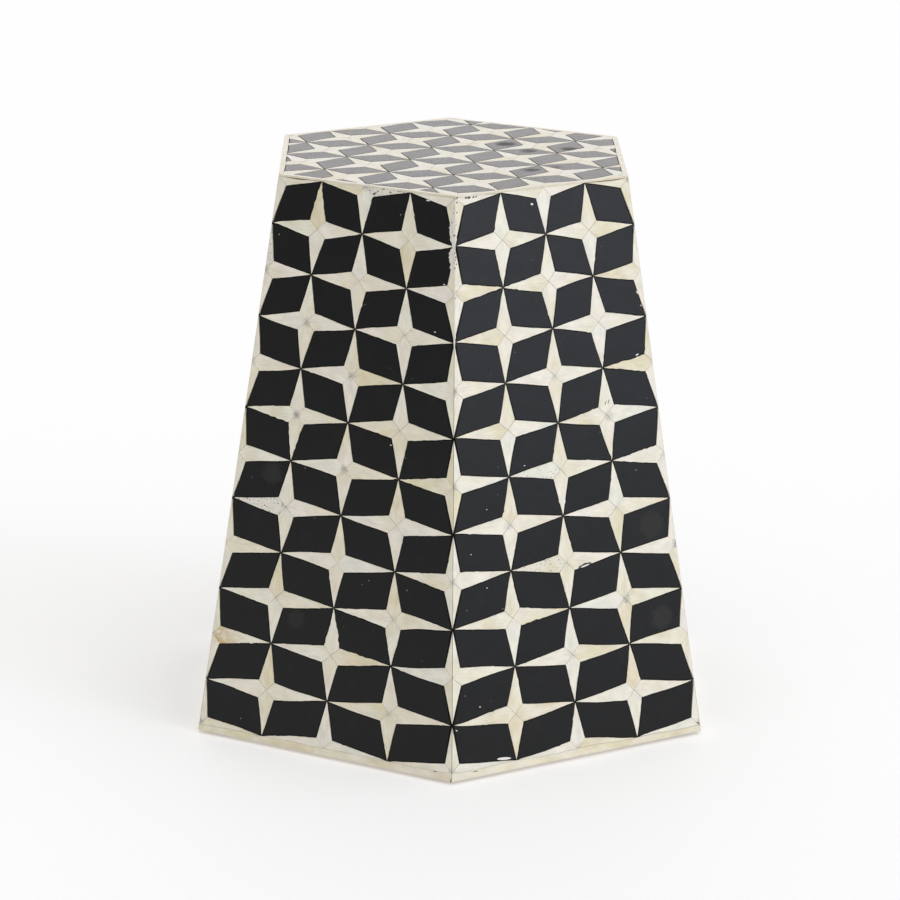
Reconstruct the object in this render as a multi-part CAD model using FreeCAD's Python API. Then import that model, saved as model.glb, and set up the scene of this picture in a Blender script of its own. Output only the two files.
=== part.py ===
"""Hexagonal bone inlay table: a tapered carcass of boards covered with star inlay.

Millimetres, +Z up, origin on the floor under the centre. One corner points along -Y.
"""

import FreeCAD, Part
import math
import os
from FreeCAD import Matrix, Vector

# Finished outside
HEIGHT = 450.0
TOP_ACROSS_FLATS = 273.0
BASE_ACROSS_FLATS = 404.0

# Inlay: the stars have four kites each, and black tiles fill the cells between them
INLAY_THICKNESS = 1.5
JOINT_GAP = 0.3
STAR_WAIST = 14.0
SIDE_COLUMNS = 4
SIDE_ROWS = 12
TOP_CELLS_PER_EDGE = 4
TOP_ROWS = 8
TOP_FIELD_OVERRUN = 2.5
BORDER_WIDTH = 4.0
BORDER_SPLIT = 0.5
BASE_STRIP_HEIGHT = 7.3
BASE_STRIP_SPLITS = (0.25, 0.46)
SMALLEST_PIECE_AREA = 3.0

# Carcass of boards, posts, rails and cleats
SIDE_BOARD_THICKNESS = 12.0
TOP_BOARD_THICKNESS = 15.0
POST_LEG = 34.0
POST_CLEARANCE = 0.5
RAIL_WIDTH = 18.0
RAIL_HEIGHT = 30.0
CLEAT_WIDTH = 20.0
CLEAT_HEIGHT = 22.0

# Square foot pads
PAD_HEIGHT = 3.0
PAD_WIDTH = 24.0

# Square cut nails, one up through each cleat into the top board
NAIL_WIDTH = 3.2
NAIL_TIP_WIDTH = 1.6
NAIL_GRIP = 10.0
NAIL_HEAD_WIDTH = 6.5
NAIL_HEAD_THICKNESS = 1.6

SIDE_NAMES = ("front_right", "right", "back_right", "back_left", "left", "front_left")
CORNER_NAMES = ("front", "right_front", "right_back", "back", "left_back", "left_front")
SECTOR = 2.0 * math.pi / len(SIDE_NAMES)
FIRST_CORNER = -math.pi / 2.0
FIRST_SIDE = FIRST_CORNER + SECTOR / 2.0
HALF_SIDE_PER_APOTHEM = math.tan(SECTOR / 2.0)

BASE_LEVEL = PAD_HEIGHT
INLAY_LEVEL = HEIGHT - INLAY_THICKNESS
TOP_BOARD_LEVEL = INLAY_LEVEL - TOP_BOARD_THICKNESS
CLEAT_LEVEL = TOP_BOARD_LEVEL - CLEAT_HEIGHT
CARCASS_DEPTH = INLAY_THICKNESS + SIDE_BOARD_THICKNESS
POST_DEPTH = POST_LEG * math.sin(SECTOR / 2.0)
CENTROID_SHARE = 2.0 / 3.0
BASE_APOTHEM = BASE_ACROSS_FLATS / 2.0
TOP_APOTHEM = TOP_ACROSS_FLATS / 2.0
BORDER_APOTHEM = TOP_APOTHEM - BORDER_WIDTH
TOP_FIELD_APOTHEM = BORDER_APOTHEM + TOP_FIELD_OVERRUN
SLOPE = math.atan2(BASE_APOTHEM - TOP_APOTHEM, HEIGHT - BASE_LEVEL)
HALF_JOINT = JOINT_GAP / 2.0
CUT_MARGIN = 1.0
TOUCH = 1e-6


def outside(level, depth=0.0):
    """Distance from the axis to a side at this level, this deep under the finished face."""
    return BASE_APOTHEM - (level - BASE_LEVEL) * math.tan(SLOPE) - depth / math.cos(SLOPE)


def block(lower, upper):
    """Solid with flat faces between two loops of matching corners, both counter-clockwise."""
    loops = [lower[::-1], upper]
    for i, corner in enumerate(lower):
        j = (i + 1) % len(lower)
        loops.append([corner, lower[j], upper[j], upper[i]])
    faces = [Part.Face(Part.makePolygon(loop + loop[:1])) for loop in loops]
    return Part.Solid(Part.Shell(faces))


def turned(shapes, angle):
    """Copies of shapes turned about the table's axis."""
    copies = [shape.copy() for shape in shapes]
    for copy in copies:
        copy.rotate(Vector(0, 0, 0), Vector(0, 0, 1), math.degrees(angle))
    return copies


def export(name, shapes):
    shape = shapes[0] if len(shapes) == 1 else Part.makeCompound(shapes)
    shape.exportStep("parts/" + name + ".step")


def side_angle(k):
    return FIRST_SIDE + k * SECTOR


def corner_angle(k):
    return FIRST_CORNER + k * SECTOR


def export_sides(name, shapes):
    """One node on each side, all alike."""
    for k, side in enumerate(SIDE_NAMES):
        export(name + "_" + side, turned(shapes, side_angle(k)))


# Carcass pieces, drawn on the side or the corner that faces +X


def length_of_board(low, high, outer_depth, inner_depth, half_length):
    """Board along a side, between two levels and two depths, with ends given by half_length."""
    loops = []
    for level in (low, high):
        inner = outside(level, inner_depth)
        outer = outside(level, outer_depth)
        near = half_length(level, inner)
        far = half_length(level, outer)
        loops.append([
            Vector(inner, -near, level),
            Vector(outer, -far, level),
            Vector(outer, far, level),
            Vector(inner, near, level),
        ])
    return block(*loops)


def mitred(level, distance):
    return distance * HALF_SIDE_PER_APOTHEM


def between_posts(level, distance):
    return outside(level, CARCASS_DEPTH) * HALF_SIDE_PER_APOTHEM - POST_LEG - POST_CLEARANCE


def side_board():
    return length_of_board(BASE_LEVEL, TOP_BOARD_LEVEL, INLAY_THICKNESS, CARCASS_DEPTH, mitred)


def base_rail():
    high = BASE_LEVEL + RAIL_HEIGHT
    return length_of_board(BASE_LEVEL, high, CARCASS_DEPTH, CARCASS_DEPTH + RAIL_WIDTH, between_posts)


def top_cleat():
    """Cleat under the top board, with the hole that its nail has made."""
    depth = CARCASS_DEPTH + CLEAT_WIDTH
    cleat = length_of_board(CLEAT_LEVEL, TOP_BOARD_LEVEL, CARCASS_DEPTH, depth, between_posts)
    return cleat.cut(nail_shank())


def nail_section(width, level):
    """Square about the middle of the cleat."""
    middle = outside((CLEAT_LEVEL + TOP_BOARD_LEVEL) / 2.0, CARCASS_DEPTH + CLEAT_WIDTH / 2.0)
    half = width / 2.0
    corners = ((-half, -half), (half, -half), (half, half), (-half, half))
    return [Vector(middle + x, y, level) for x, y in corners]


def nail_shank():
    tip = TOP_BOARD_LEVEL + NAIL_GRIP
    return block(nail_section(NAIL_WIDTH, CLEAT_LEVEL), nail_section(NAIL_TIP_WIDTH, tip))


def cut_nail():
    """Tapered square nail with its flat head against the underside of the cleat."""
    low = CLEAT_LEVEL - NAIL_HEAD_THICKNESS
    head = block(nail_section(NAIL_HEAD_WIDTH, low), nail_section(NAIL_HEAD_WIDTH, CLEAT_LEVEL))
    return head.fuse(nail_shank())


def hexagon(level, apothem, turn=0.0):
    radius = apothem / math.cos(SECTOR / 2.0)
    angles = [corner_angle(k) + turn for k in range(len(CORNER_NAMES))]
    return [Vector(radius * math.cos(a), radius * math.sin(a), level) for a in angles]


def top_board(nails):
    levels = (TOP_BOARD_LEVEL, INLAY_LEVEL)
    board = block(*[hexagon(level, outside(level, INLAY_THICKNESS)) for level in levels])
    return board.cut(nails)


def corner_radius(level):
    """Distance from the axis to the inner corner between two side boards."""
    return outside(level, CARCASS_DEPTH) / math.cos(SECTOR / 2.0)


def corner_post():
    """Triangular post in the corner between two side boards, with a leg on each."""
    reach = POST_LEG * math.cos(SECTOR / 2.0)
    loops = []
    for level in (BASE_LEVEL, TOP_BOARD_LEVEL):
        corner = corner_radius(level)
        back = corner - POST_DEPTH
        loops.append([Vector(corner, 0, level), Vector(back, reach, level), Vector(back, -reach, level)])
    return block(*loops)


def foot_pad():
    """Square pad under the middle of a post and the two boards beside it."""
    middle = corner_radius(BASE_LEVEL) - POST_DEPTH * CENTROID_SHARE
    corner = Vector(middle - PAD_WIDTH / 2.0, -PAD_WIDTH / 2.0, 0)
    return Part.makeBox(PAD_WIDTH, PAD_WIDTH, PAD_HEIGHT, corner)


# Flat outlines, as lists of (x, y) corners in counter-clockwise order


def clipped(outline, start, end, inset):
    """Part of a convex outline that lies to the left of a line, at least inset from it."""
    along_x = end[0] - start[0]
    along_y = end[1] - start[1]
    length = math.hypot(along_x, along_y)
    reaches = [(along_x * (y - start[1]) - along_y * (x - start[0])) / length - inset for x, y in outline]
    kept = []
    for i, p in enumerate(outline):
        j = (i + 1) % len(outline)
        q = outline[j]
        if reaches[i] > -TOUCH:
            kept.append(p)
        if min(reaches[i], reaches[j]) < -TOUCH and max(reaches[i], reaches[j]) > TOUCH:
            share = reaches[i] / (reaches[i] - reaches[j])
            kept.append((p[0] + share * (q[0] - p[0]), p[1] + share * (q[1] - p[1])))
    return kept


def edges(outline):
    return list(zip(outline, outline[1:] + outline[:1]))


def area(outline):
    return sum(p[0] * q[1] - p[1] * q[0] for p, q in edges(outline)) / 2.0


def drawn_in(outline, joint_at):
    """Outline less half a joint along each edge, as joint_at gives it for that edge."""
    result = outline
    for p, q in edges(outline):
        result = clipped(result, p, q, joint_at(p, q))
    return result


def star_field(columns, rows, vertex, meeting):
    """Outlines of the bone kites and black tiles on a grid of cells.

    A grid corner with an even sum is a star's centre, and one with an odd sum is the point where
    four tiles and the tips of four kites meet. Kites on the grid's edge are half kites. vertex gives
    a corner's place, and meeting gives the place that the tips of tiles and whole kites keep to.
    """
    half = STAR_WAIST / 2.0

    def is_star(i, j):
        return (i + j) % 2 == 0

    def waist(i, j, x, y):
        """Corner of the star's waist in the quarter towards (x, y)."""
        centre = vertex(i, j)
        return (centre[0] + x * half, centre[1] + y * half)

    def in_grid(i, j, x, y):
        return i + (x - 1) // 2 in columns and j + (y - 1) // 2 in rows

    column_lines = range(columns.start, columns.stop + 1)
    row_lines = range(rows.start, rows.stop + 1)
    kites = []
    for i, j in [(i, j) for i in column_lines for j in row_lines if is_star(i, j)]:
        for x, y in ((1, 0), (0, 1), (-1, 0), (0, -1)):
            right = (x + y, y - x)
            left = (x - y, y + x)
            centre = vertex(i, j)
            if in_grid(i, j, *right) and in_grid(i, j, *left):
                tip = meeting(i + x, j + y)
                kites.append([centre, waist(i, j, *right), tip, waist(i, j, *left)])
            elif in_grid(i, j, *right):
                kites.append([centre, waist(i, j, *right), vertex(i + x, j + y)])
            elif in_grid(i, j, *left):
                kites.append([centre, vertex(i + x, j + y), waist(i, j, *left)])

    tiles = []
    for i, j in [(i, j) for i in columns for j in rows]:
        tile = []
        for x, y in ((0, 0), (1, 0), (1, 1), (0, 1)):
            if is_star(i + x, j + y):
                tile.append(waist(i + x, j + y, 1 - 2 * x, 1 - 2 * y))
            else:
                tile.append(meeting(i + x, j + y))
        tiles.append(tile)
    return kites, tiles


def inlay_piece(outline):
    """Flat piece of inlay with its face at z = 0."""
    points = [Vector(x, y, -INLAY_THICKNESS) for x, y in outline]
    return Part.Face(Part.makePolygon(points + points[:1])).extrude(Vector(0, 0, INLAY_THICKNESS))


# Inlay of a side, drawn flat: x along the side, y up the slope from the base, z out of the face

PANEL_HEIGHT = (INLAY_LEVEL - BASE_LEVEL) / math.cos(SLOPE)
ROW_PITCH = (PANEL_HEIGHT - BASE_STRIP_HEIGHT) / SIDE_ROWS


def panel_half_width(y, depth=0.0):
    apothem = BASE_APOTHEM - y * math.sin(SLOPE) - depth * math.cos(SLOPE)
    return apothem * HALF_SIDE_PER_APOTHEM


def panel_vertex(i, j):
    y = BASE_STRIP_HEIGHT + j * ROW_PITCH
    return ((2.0 * i / SIDE_COLUMNS - 1.0) * panel_half_width(y), y)


def panel_meeting(i, j):
    """Grid corner kept inside the mitres at the inlay's full depth."""
    x, y = panel_vertex(i, j)
    limit = panel_half_width(y, INLAY_THICKNESS)
    return (max(-limit, min(limit, x)), y)


def at_mitre(point):
    return panel_half_width(point[1]) - abs(point[0]) < TOUCH


def panel_joint(p, q):
    """Half a joint, except along the mitres, which are cut later."""
    return 0.0 if at_mitre(p) and at_mitre(q) else HALF_JOINT


def mitre_room():
    """Room that one side's inlay may fill: between its mitres, above the base and under the top."""
    loops = []
    for depth in (INLAY_THICKNESS + CUT_MARGIN, -CUT_MARGIN):
        low = depth * math.tan(SLOPE)
        high = low + PANEL_HEIGHT
        bottom = panel_half_width(low, depth) - HALF_JOINT
        top = panel_half_width(high, depth) - HALF_JOINT
        corners = ((-bottom, low), (bottom, low), (top, high), (-top, high))
        loops.append([Vector(x, y, -depth) for x, y in corners])
    return block(*loops)


def panel_pieces(outlines, room):
    """Pieces of a side's inlay, with those at its mitres cut to the mitre."""
    pieces = []
    for outline in outlines:
        piece = inlay_piece(drawn_in(outline, panel_joint))
        if any(at_mitre(point) for point in outline):
            piece = piece.common(room)
        pieces.append(piece)
    return pieces


def base_strip(split, room):
    """Plain strip along the foot of a side, in two lengths that meet at a share of its width."""
    half = panel_half_width(0.0)
    end = half + CUT_MARGIN
    low = -CUT_MARGIN
    high = BASE_STRIP_HEIGHT - HALF_JOINT
    middle = half * (2.0 * split - 1.0)
    lengths = []
    for start, stop in ((-end, middle - HALF_JOINT), (middle + HALF_JOINT, end)):
        outline = [(start, low), (stop, low), (stop, high), (start, high)]
        lengths.append(inlay_piece(outline).common(room))
    return lengths


def on_side(pieces):
    """Pieces drawn flat, set on the side that faces +X."""
    rise = math.cos(SLOPE)
    lean = math.sin(SLOPE)
    place = Matrix(
        0, -lean, rise, BASE_APOTHEM,
        1, 0, 0, 0,
        0, rise, lean, BASE_LEVEL,
        0, 0, 0, 1,
    )
    return [piece.transformed(place) for piece in pieces]


# Inlay of the top, drawn flat: x along its front right edge, y away from that edge. Its star field
# overruns the border's inner edge and is cut off there.

TOP_TURN = FIRST_SIDE + math.pi / 2.0
TOP_ROW_PITCH = 2.0 * TOP_FIELD_APOTHEM / TOP_ROWS
TOP_COLUMN_PITCH = 2.0 * TOP_FIELD_APOTHEM * HALF_SIDE_PER_APOTHEM / TOP_CELLS_PER_EDGE


def top_vertex(i, j):
    return (i * TOP_COLUMN_PITCH, j * TOP_ROW_PITCH - TOP_FIELD_APOTHEM)


def top_pieces(outlines):
    """Pieces of the top's inlay, cut off along the border."""
    border = [(p.x, p.y) for p in hexagon(0.0, BORDER_APOTHEM, -TOP_TURN)]
    pieces = []
    for outline in outlines:
        for p, q in edges(border):
            outline = clipped(outline, p, q, 0.0)
        if area(outline) > SMALLEST_PIECE_AREA:
            pieces.append(inlay_piece(drawn_in(outline, lambda p, q: HALF_JOINT)))
    for piece in pieces:
        piece.translate(Vector(0, 0, HEIGHT))
    return turned(pieces, TOP_TURN)


def border_strips():
    """Border of one edge of the top, in two lengths, with its outer face on the slope of the side."""
    lengths = []
    inner = BORDER_APOTHEM + HALF_JOINT
    split = BORDER_APOTHEM * HALF_SIDE_PER_APOTHEM * (2.0 * BORDER_SPLIT - 1.0)
    for end in (-1, 1):
        loops = []
        for level in (INLAY_LEVEL, HEIGHT):
            outer = outside(level)
            near = end * (inner * HALF_SIDE_PER_APOTHEM - HALF_JOINT)
            far = end * (outer * HALF_SIDE_PER_APOTHEM - HALF_JOINT)
            cut = split + end * HALF_JOINT
            loop = [(inner, near), (outer, far), (outer, cut), (inner, cut)]
            loops.append([Vector(x, y, level) for x, y in loop[::-end]])
        lengths.append(block(*loops))
    return lengths


def main():
    os.makedirs("parts", exist_ok=True)

    nails = []
    borders = []
    for k in range(len(SIDE_NAMES)):
        nails += turned([cut_nail()], side_angle(k))
        borders += turned(border_strips(), side_angle(k))
    pads = []
    for k, corner in enumerate(CORNER_NAMES):
        export("corner_post_" + corner, turned([corner_post()], corner_angle(k)))
        pads += turned([foot_pad()], corner_angle(k))
    export_sides("side_board", [side_board()])
    export_sides("base_rail", [base_rail()])
    export_sides("top_cleat", [top_cleat()])
    export("top_board", [top_board(nails)])
    export("top_nails", nails)
    export("foot_pads", pads)

    room = mitre_room()
    kites, tiles = star_field(range(SIDE_COLUMNS), range(SIDE_ROWS), panel_vertex, panel_meeting)
    export_sides("bone_stars", on_side(panel_pieces(kites, room)))
    export_sides("black_tiles", on_side(panel_pieces(tiles, room)))
    for k, side in enumerate(SIDE_NAMES):
        split = BASE_STRIP_SPLITS[k % len(BASE_STRIP_SPLITS)]
        export("base_strip_" + side, turned(on_side(base_strip(split, room)), side_angle(k)))

    columns = range(-TOP_CELLS_PER_EDGE, TOP_CELLS_PER_EDGE)
    kites, tiles = star_field(columns, range(TOP_ROWS), top_vertex, top_vertex)
    export("top_bone_stars", top_pieces(kites))
    export("top_black_tiles", top_pieces(tiles))
    export("top_border_strips", borders)


main()
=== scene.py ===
"""Looks of the hexagonal bone inlay table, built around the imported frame. Metres, +Z up."""

import functools
import math
import random
from typing import NamedTuple

import bpy
import numpy as np
from mathutils import Matrix, Vector, noise


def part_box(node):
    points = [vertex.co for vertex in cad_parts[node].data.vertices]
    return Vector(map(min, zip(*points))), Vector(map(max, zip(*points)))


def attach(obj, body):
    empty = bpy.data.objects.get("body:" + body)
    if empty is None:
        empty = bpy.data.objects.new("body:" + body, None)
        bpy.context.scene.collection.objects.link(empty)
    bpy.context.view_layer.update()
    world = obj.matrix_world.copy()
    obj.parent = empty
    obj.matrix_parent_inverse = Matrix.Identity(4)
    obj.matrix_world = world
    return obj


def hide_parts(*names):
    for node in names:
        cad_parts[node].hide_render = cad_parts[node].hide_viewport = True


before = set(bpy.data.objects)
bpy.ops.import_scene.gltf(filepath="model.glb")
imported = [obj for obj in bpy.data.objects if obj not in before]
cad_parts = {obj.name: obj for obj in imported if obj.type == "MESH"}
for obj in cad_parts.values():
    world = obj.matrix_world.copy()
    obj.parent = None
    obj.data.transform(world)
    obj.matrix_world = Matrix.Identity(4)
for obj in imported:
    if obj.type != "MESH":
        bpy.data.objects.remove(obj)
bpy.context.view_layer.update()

MM = 0.001
MICRON = MM * 0.001
SIDES = ("front_right", "right", "back_right", "back_left", "left", "front_left")
MITRE_TURN = math.pi / 2.0 - math.pi / len(SIDES)
UP = Vector((0.0, 0.0, 1.0))

# How closely directions and places have to agree
FACE_ON = 0.999
DIGITS = 3
TINY = 1e-6

# Camera of the photograph: place in metres, angles in radians, lens in millimetres
CAMERA_PLACE = Vector((-0.0463, -2.9757, 1.0539))
CAMERA_TURN = -0.0156
CAMERA_TILT = math.pi / 2.0 - 0.2782
CAMERA_ROLL = 0.0082
CAMERA_LENS = 151.09
SENSOR_WIDTH = 36.0
PHOTO_WIDTH = 900

# Hand-cut inlay, in millimetres, apart from shares and counts
PIECE_THICKNESS = 1.5
HALF_JOINT = 0.15
EDGE_STEP = 1.4
EDGE_ROUND = 0.13
RIM_DEPTH = 0.35
RIM_WIDTH = 0.75
LONGEST_TIP_CUT = 0.65
SHARPEST = 0.05
ROOM_SHARE = 0.45
GROWTH = (0.04, 0.15)
WANDER_LENGTH = 34.0
WANDER_REACH = 1.1
RAGGED_LENGTH = 3.2
RAGGED_REACH = 0.15
RAGGED_SPREAD = 55.0
RAGGED_GAIN = 9.0
RAGGED_FROM = 0.20
SLIP_CELL = 10.0
SLIP_CHANCE = 0.35
SLIP_INSIDE = (0.2, 0.8)
SLIP_RADIUS = 1.8
SLIP_REACH = (0.5, 1.0)
RIM_FADE = 7.0
PROUD_REACH = 0.025
TILT_REACH = 0.0016
NOISE_FAR = 400.0
NOISE_SEED = 2
TOP_GAP = 1.3
TOP_GAP_LENGTH = 16.0

# Uneven laying of the sides in the photograph, in millimetres: outer columns drawn to the middle,
# rows raised in the middle, and rows dropped along the foot, more towards one end of the side
COLUMN_PULL = {"front_right": 1.2}
ROW_RISE = {"front_right": 1.2}
FOOT_DROP = {"front_left": (0.8, -1.9), "front_right": (0.8, 1.9)}
FOOT_DROP_HEIGHT = 110.0
STRIP_HEIGHT = 7.0

# Rings of a piece from its back to its face: how far in, how deep, and how much of the surface is edge
LIP_WIDTH = 0.25 * EDGE_ROUND
LIP_DEPTH = 0.5 * EDGE_ROUND
BONE_RINGS = ((0.0, PIECE_THICKNESS, 1.0), (0.0, EDGE_ROUND, 1.0), (EDGE_ROUND, 0.0, 0.0))
RESIN_RINGS = (
    (0.0, PIECE_THICKNESS, 1.0),
    (0.0, RIM_DEPTH, 1.0),
    (RIM_WIDTH, RIM_DEPTH, 1.0),
    (RIM_WIDTH + LIP_WIDTH, LIP_DEPTH, 1.0),
    (RIM_WIDTH + EDGE_ROUND, 0.0, 0.0),
)

# Places in the photograph, in its pixels, where single pieces differ from the rest, and how strongly. The
# reaches are in millimetres.
POROUS_KITES = {
    "front_left": ((381, 193, 1.0), (271, 247, 0.7), (263, 501, 0.9)),
    "front_right": ((541, 471, 0.4), (538, 566, 0.6)),
}
SMUDGED_TILES = {
    "front_left": ((272, 473, 0.85), (296, 619, 0.75)),
    "front_right": ((652, 525, 1.0), (662, 617, 0.9)),
    "top": ((506, 144, 0.8), (529, 151, 0.65), (569, 149, 0.7), (531, 170, 0.65), (556, 167, 0.5)),
}
STAINED_KITES = {"front_left": ((221, 637, 1.3),)}
PICK_REACH = 14.0
STAIN_REACH = 16.0

# Values drawn for the other pieces. A rare one starts at a share of the pieces and grows by a gain.
RARE_POROUS = (0.97, 8.0)
RARE_SMUDGE = (0.94, 1.5)
SMUDGE_ASIDE = (8.0, 3.0)
GRIME_LENGTH = 9.0
GRIME_GAIN = 1.8
TONE_SPREAD = (1.7, 1.5)
STRIP_RAW = 0.4
BORDER_TONE = 0.6

# Filler smeared over the front corner: row of the photograph, and its width on the left and the right side
# in millimetres. Its section gives shares of that width and of its height, from the rim to the corner.
CORNER_COLUMN = 455
CORNER_SMEAR = (
    (200, 1.8, 1.2),
    (208, 1.0, 0.7),
    (218, 2.2, 0.6),
    (229, 5.0, 1.2),
    (240, 3.8, 1.6),
    (246, 2.0, 0.3),
    (254, 5.0, 0.3),
    (266, 4.4, 0.4),
    (278, 0.8, 0.5),
    (300, 0.5, 0.6),
    (322, 0.4, 0.3),
    (336, 0.9, 1.2),
    (348, 0.3, 0.3),
)
SMEAR_SECTION = ((1.0, 0.01), (0.7, 1.0), (0.0, 0.8))
SMEAR_STEP = 0.9
SMEAR_FADE_STEPS = 2.0
SMEAR_HEIGHT = 0.07
SMEAR_LEAST = 0.15
SMEAR_RAGGED = 0.45
SMEAR_LENGTH = 2.6
FAR_ALONG = 300.0

# White chips in the black tiles and dark pits in the bone: side, both ends in pixels of the photograph,
# and width in millimetres
CHIPS = (
    ("front_right", (579.5, 568.0), (590.5, 563.5), 1.2),
    ("front_right", (496, 759), (511, 758), 2.4),
    ("front_right", (523.6, 465.6), (525.4, 465.6), 0.8),
    ("front_left", (390.0, 444.4), (391.6, 445.8), 0.8),
    ("front_left", (443.2, 284.0), (445.0, 284.8), 0.9),
    ("front_right", (530.6, 203.9), (533.3, 204.3), 1.9),
    ("front_right", (643, 735), (648, 734), 1.1),
    ("front_right", (653, 733), (660, 731), 0.6),
    ("front_right", (455.7, 730.2), (457.3, 731.2), 0.9),
    ("front_right", (636.2, 290.8), (638.4, 294.0), 1.2),
    ("front_right", (640.0, 304.9), (641.6, 305.9), 0.8),
    ("front_right", (635.4, 355.6), (638.6, 353.8), 1.3),
    ("front_right", (479, 707), (481, 707), 0.9),
    ("front_right", (486, 588), (488, 588), 0.7),
    ("front_left", (426, 200), (430, 201), 0.9),
    ("front_left", (434, 332), (436, 332), 0.8),
    ("front_left", (411.6, 328.2), (416.0, 330.0), 1.0),
    ("front_right", (463.5, 479.6), (471.0, 478.4), 0.9),
    ("front_right", (486.0, 509.4), (487.4, 509.8), 0.6),
    ("front_right", (470.2, 554.5), (471.6, 554.9), 0.6),
)
PITS = (
    ("front_right", (577.8, 567.9), (591.7, 562.1), 3.1),
    ("front_left", (372.9, 194.6), (375.1, 193.2), 1.9),
    ("front_left", (375.1, 193.4), (376.7, 192.4), 1.4),
    ("front_left", (377.1, 192.0), (378.9, 191.0), 1.2),
    ("front_left", (389.3, 192.7), (391.5, 191.9), 1.4),
    ("front_left", (369.3, 190.3), (370.9, 189.9), 1.0),
    ("front_left", (383.1, 189.3), (384.7, 188.9), 1.0),
    ("front_right", (456.4, 197.2), (457.8, 198.6), 1.7),
    ("front_right", (464.6, 198.0), (467.2, 197.8), 1.6),
    ("front_right", (467.2, 198.4), (470.6, 197.0), 2.0),
    ("front_right", (472.2, 197.6), (474.6, 196.8), 1.4),
    ("front_right", (475.2, 197.0), (477.2, 196.4), 1.2),
    ("front_right", (456.8, 201.7), (456.8, 203.8), 1.2),
    ("front_right", (456.8, 211.7), (456.8, 213.5), 1.2),
    ("front_right", (456.2, 244.7), (456.4, 247.3), 1.7),
    ("front_right", (455.8, 256.2), (455.8, 258.6), 1.2),
    ("front_right", (455.9, 259.3), (455.5, 261.1), 1.0),
    ("front_left", (454.3, 261.7), (454.7, 263.5), 1.0),
    ("front_right", (456.1, 263.3), (456.5, 265.1), 1.0),
    ("front_left", (454.8, 284.6), (454.8, 288.0), 1.0),
    ("front_right", (604.6, 405.6), (606.4, 400.6), 0.6),
    ("front_right", (607.8, 404.0), (609.2, 398.8), 0.6),
    ("front_right", (472.6, 772.2), (478.0, 770.6), 0.7),
    ("front_left", (432.6, 770.8), (437.0, 771.8), 0.6),
    ("front_left", (450.8, 779.0), (450.8, 783.0), 0.7),
    ("front_right", (696.6, 721.8), (699.6, 724.0), 1.0),
)
FLECK_POINTS = 12
FLECK_RAGGED = (0.75, 1.05)
CHIP_HEIGHTS = (-0.3, 0.12)
PIT_HEIGHTS = (-0.3, 0.09)


class Panel:
    """An inlaid face of the table: its place, its directions along, up and out, and its mitres."""

    def __init__(self, name, out, up, point, mitred):
        self.name = name
        self.pull = COLUMN_PULL.get(name, 0.0)
        self.rise = ROW_RISE.get(name, 0.0)
        self.drop = FOOT_DROP.get(name, (0.0, 0.0))
        self.out = out.normalized()
        self.up = (up - self.out * up.dot(self.out)).normalized()
        self.along = self.up.cross(self.out)
        self.foot = self.out * point.dot(self.out)
        self.mitres = []
        if mitred:
            middle = Vector((self.out.x, self.out.y, 0.0)).normalized()
            for turn in (1, -1):
                plane = middle.copy()
                plane.rotate(Matrix.Rotation(turn * MITRE_TURN, 3, "Z"))
                self.mitres.append(plane)

    def flat(self, point):
        """Flat coordinates of a point, in millimetres."""
        return ((point - self.foot).dot(self.along) / MM, (point - self.foot).dot(self.up) / MM)

    def solid(self, flat, height=0.0):
        """Point at flat coordinates, and this high over the face, all in millimetres."""
        return self.foot + (self.along * flat[0] + self.up * flat[1] + self.out * height) * MM

    def kept_in(self, point):
        """Point moved along the face to half a joint inside the mitres."""
        for plane in self.mitres:
            lack = HALF_JOINT * MM - point.dot(plane)
            if lack > 0.0:
                point = point + self.along * (lack / self.along.dot(plane))
        return point

    def edge_at(self, level, end=1):
        """Where one end of the face is along it, at a level up the face."""
        return self.flat(self.kept_in(self.solid((end * FAR_ALONG, level))))[0]

    def seen_at(self, pixel):
        """Flat coordinates of what the photograph shows of this face at a pixel."""
        step = SENSOR_WIDTH / CAMERA_LENS / PHOTO_WIDTH
        middle = PHOTO_WIDTH / 2.0
        sight = Vector(((pixel[0] - middle) * step, (middle - pixel[1]) * step, -1.0))
        sight.rotate(camera_turn())
        reach = (self.foot - CAMERA_PLACE).dot(self.out) / sight.dot(self.out)
        return self.flat(CAMERA_PLACE + sight * reach)


def camera_turn():
    return (
        Matrix.Rotation(CAMERA_TURN, 3, "Z")
        @ Matrix.Rotation(CAMERA_TILT, 3, "X")
        @ Matrix.Rotation(CAMERA_ROLL, 3, "Z")
    )


# Outlines of the inlay pieces, read from the frame


def welded(node):
    """Corners and triangles of a CAD node, with corners at one place made one."""
    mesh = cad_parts[node].data
    corners = np.empty(len(mesh.vertices) * 3)
    mesh.vertices.foreach_get("co", corners)
    places = np.round(corners.reshape(-1, 3) / MICRON).astype(int)
    unique, index = np.unique(places, axis=0, return_inverse=True)
    index = index.reshape(-1)
    points = [Vector(place) * MICRON for place in unique.tolist()]
    triangles = [[int(index[v]) for v in polygon.vertices] for polygon in mesh.polygons]
    return points, triangles


def triangle_normal(points, triangle):
    a, b, c = (points[i] for i in triangle)
    return (b - a).cross(c - a)


def outward(node):
    """Outward direction of the face that most of a node's pieces share, and a point on it."""
    points, triangles = welded(node)
    totals = {}
    for triangle in triangles:
        normal = triangle_normal(points, triangle)
        corner = points[triangle[0]]
        if normal.dot(Vector((corner.x, corner.y, 0.0))) <= 0.0:
            continue
        key = tuple(round(x, DIGITS) for x in normal.normalized())
        total = totals.get(key, (Vector(), corner))[0]
        totals[key] = (total + normal, corner)
    total, corner = max(totals.values(), key=lambda entry: entry[0].length)
    return total.normalized(), corner


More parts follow.
